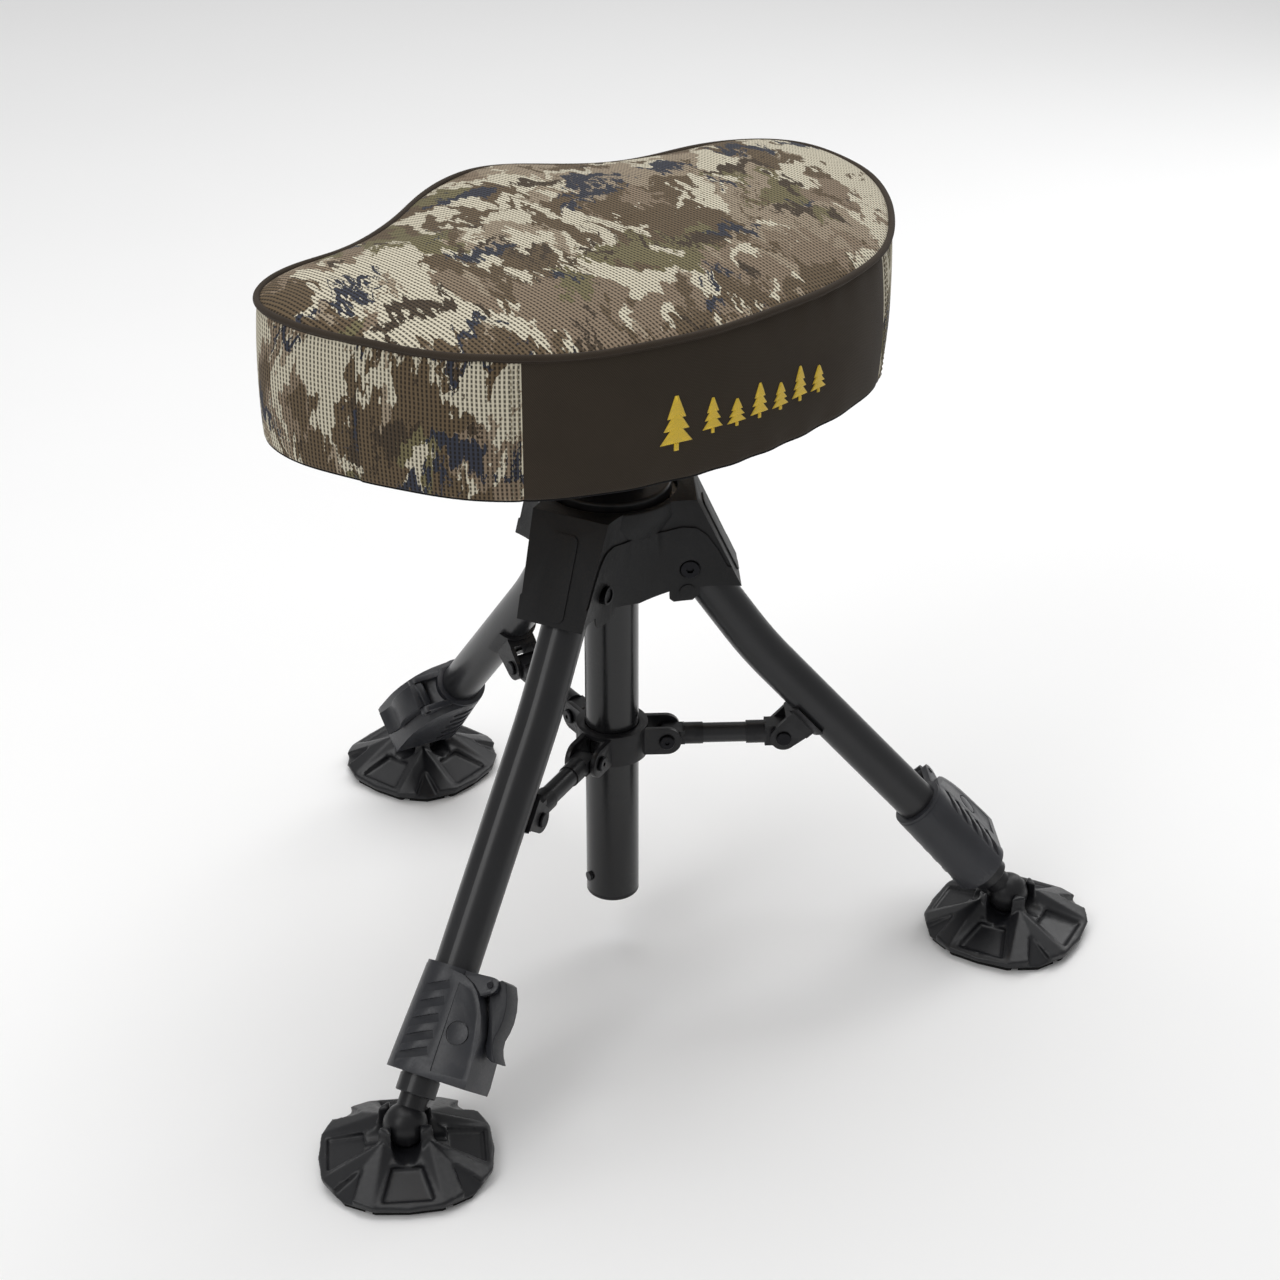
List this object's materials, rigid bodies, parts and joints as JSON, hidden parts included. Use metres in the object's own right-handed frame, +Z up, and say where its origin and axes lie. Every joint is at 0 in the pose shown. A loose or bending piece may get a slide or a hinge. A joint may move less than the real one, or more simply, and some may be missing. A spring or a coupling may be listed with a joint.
{
  "type": "swivel stool",
  "caption": "Folding tripod swivel stool with a padded, saddle-shaped seat, telescoping legs, lever clamps and faceted ball-jointed feet.",
  "frame": {"origin": "middle of the footprint on the floor", "axes": "+Z up; +X the widest direction, from leg A's side to leg B's side; +Y towards leg C; the seat's front bulge heads 99 degrees from +X at rest"},
  "size_m": [0.5294, 0.4724, 0.473],
  "materials": {
    "hub_plastic": "fine-grained black moulded plastic",
    "black_tube": "satin black powder coat",
    "gloss_post": "semi-gloss black paint",
    "black_fitting": "smooth black nylon",
    "clamp_plastic": "matte black plastic with light moulding grain",
    "lever_plastic": "matte black plastic",
    "foot_plastic": "hard black rubber-like plastic",
    "sole_rubber": "black rubber",
    "black_screw": "black oxide",
    "stem_steel": "drawn steel",
    "bearing_plastic": "smooth acetal",
    "plate_steel": "black painted steel",
    "seat_fabric": "woven mesh with a broken-leaf print in cream, taupe, brown, olive and slate",
    "board_wood": "plywood"
  },
  "bodies": {
    "hub": {"hub_housing": "hub_plastic", "swivel_race": "bearing_plastic", "leg_pivot_bolts": "black_screw", "leg_pivot_nuts": "black_screw", "centre_post": "gloss_post", "post_end_cap": "black_fitting", "post_stop_button": "black_fitting", "stem_bushing": "bearing_plastic"},
    "seat": {"seat_cushion": "seat_fabric", "seat_board": "board_wood", "seat_mount_plate": "plate_steel", "seat_plate_screws": "black_screw", "seat_stem": "stem_steel", "swivel_disc": "black_fitting", "stem_clip": "stem_steel"},
    "collar": {"slide_collar": "black_fitting", "collar_screws": "black_screw"},
    "leg_a": {"leg_tube_a": "black_tube", "leg_knuckle_a": "black_fitting", "leg_bracket_a": "black_fitting", "bracket_pin_a": "black_screw", "clamp_body_a": "clamp_plastic", "lever_pin_a": "black_screw"},
    "inner_leg_a": {"inner_tube_a": "black_tube", "ball_stud_a": "black_fitting"},
    "foot_a": {"foot_plate_a": "foot_plastic", "foot_sole_a": "sole_rubber"},
    "lever_a": {"clamp_lever_a": "lever_plastic"},
    "strut_a": {"strut_rod_a": "black_tube", "strut_ends_a": "black_fitting"},
    "leg_b": {"leg_tube_b": "black_tube", "leg_knuckle_b": "black_fitting", "leg_bracket_b": "black_fitting", "bracket_pin_b": "black_screw", "clamp_body_b": "clamp_plastic", "lever_pin_b": "black_screw"},
    "inner_leg_b": {"inner_tube_b": "black_tube", "ball_stud_b": "black_fitting"},
    "foot_b": {"foot_plate_b": "foot_plastic", "foot_sole_b": "sole_rubber"},
    "lever_b": {"clamp_lever_b": "lever_plastic"},
    "strut_b": {"strut_rod_b": "black_tube", "strut_ends_b": "black_fitting"},
    "leg_c": {"leg_tube_c": "black_tube", "leg_knuckle_c": "black_fitting", "leg_bracket_c": "black_fitting", "bracket_pin_c": "black_screw", "clamp_body_c": "clamp_plastic", "lever_pin_c": "black_screw"},
    "inner_leg_c": {"inner_tube_c": "black_tube", "ball_stud_c": "black_fitting"},
    "foot_c": {"foot_plate_c": "foot_plastic", "foot_sole_c": "sole_rubber"},
    "lever_c": {"clamp_lever_c": "lever_plastic"},
    "strut_c": {"strut_rod_c": "black_tube", "strut_ends_c": "black_fitting"}
  },
  "joints": [
    {"name": "seat_swivel", "type": "hinge", "parent": "hub", "child": "seat", "pos_m": [0, -0.06157, 0.38], "axis": [0, 0, 1], "continuous": true},
    {"name": "collar_slide", "type": "slide", "parent": "hub", "child": "collar", "axis": [0, 0, 1], "range_m": [-0.08219, 0]},
    {"name": "leg_a_fold", "type": "hinge", "parent": "hub", "child": "leg_a", "pos_m": [-0.03871, -0.08392, 0.2676], "axis": [0.5, -0.866, 0], "range_deg": [0, 25]},
    {"name": "strut_a_pivot", "type": "hinge", "parent": "leg_a", "child": "strut_a", "pos_m": [-0.08877, -0.11282, 0.147], "axis": [0.5, -0.866, 0], "range_deg": [-103.98, 0]},
    {"name": "leg_a_extend", "type": "slide", "parent": "leg_a", "child": "inner_leg_a", "axis": [-0.5738, -0.3313, -0.749], "range_m": [0, 0.1]},
    {"name": "foot_a_tilt", "type": "hinge", "parent": "inner_leg_a", "child": "foot_a", "pos_m": [-0.2133, -0.18473, 0.0262], "axis": [0.5, -0.866, 0], "range_deg": [-25, 6]},
    {"name": "lever_a_open", "type": "hinge", "parent": "leg_a", "child": "lever_a", "pos_m": [-0.14947, -0.18078, 0.09091], "axis": [-0.6486, -0.3745, 0.6626], "range_deg": [0, 95]},
    {"name": "leg_b_fold", "type": "hinge", "parent": "hub", "child": "leg_b", "pos_m": [0.03871, -0.08392, 0.2676], "axis": [0.5, 0.866, 0], "range_deg": [0, 25.1]},
    {"name": "strut_b_pivot", "type": "hinge", "parent": "leg_b", "child": "strut_b", "pos_m": [0.08877, -0.11282, 0.147], "axis": [0.5, 0.866, 0], "range_deg": [-103.98, 0]},
    {"name": "leg_b_extend", "type": "slide", "parent": "leg_b", "child": "inner_leg_b", "axis": [0.5738, -0.3313, -0.749], "range_m": [0, 0.1]},
    {"name": "foot_b_tilt", "type": "hinge", "parent": "inner_leg_b", "child": "foot_b", "pos_m": [0.2133, -0.18473, 0.0262], "axis": [0.5, 0.866, 0], "range_deg": [-25, 6]},
    {"name": "lever_b_open", "type": "hinge", "parent": "leg_b", "child": "lever_b", "pos_m": [0.17797, -0.13142, 0.09091], "axis": [0.6486, -0.3745, 0.6626], "range_deg": [0, 95]},
    {"name": "leg_c_fold", "type": "hinge", "parent": "hub", "child": "leg_c", "pos_m": [0, -0.01688, 0.2676], "axis": [-1, 0, 0], "range_deg": [0, 25.1]},
    {"name": "strut_c_pivot", "type": "hinge", "parent": "leg_c", "child": "strut_c", "pos_m": [0, 0.04093, 0.147], "axis": [-1, 0, 0], "range_deg": [-103.98, 0]},
    {"name": "leg_c_extend", "type": "slide", "parent": "leg_c", "child": "inner_leg_c", "axis": [0, 0.6626, -0.749], "range_m": [0, 0.1]},
    {"name": "foot_c_tilt", "type": "hinge", "parent": "inner_leg_c", "child": "foot_c", "pos_m": [0, 0.18473, 0.0262], "axis": [-1, 0, 0], "range_deg": [-25, 6]},
    {"name": "lever_c_open", "type": "hinge", "parent": "leg_c", "child": "lever_c", "pos_m": [-0.0285, 0.12748, 0.09091], "axis": [0, 0.749, 0.6626], "range_deg": [0, 95]}
  ],
  "couplings": [
    {"joint": "collar_slide", "follows": "leg_a_fold", "m_per_rad": -0.18745},
    {"joint": "strut_a_pivot", "follows": "leg_a_fold", "ratio": -4.1513},
    {"joint": "leg_b_fold", "follows": "leg_a_fold", "ratio": 1},
    {"joint": "strut_b_pivot", "follows": "leg_a_fold", "ratio": -4.1513},
    {"joint": "leg_c_fold", "follows": "leg_a_fold", "ratio": 1},
    {"joint": "strut_c_pivot", "follows": "leg_a_fold", "ratio": -4.1513}
  ]
}
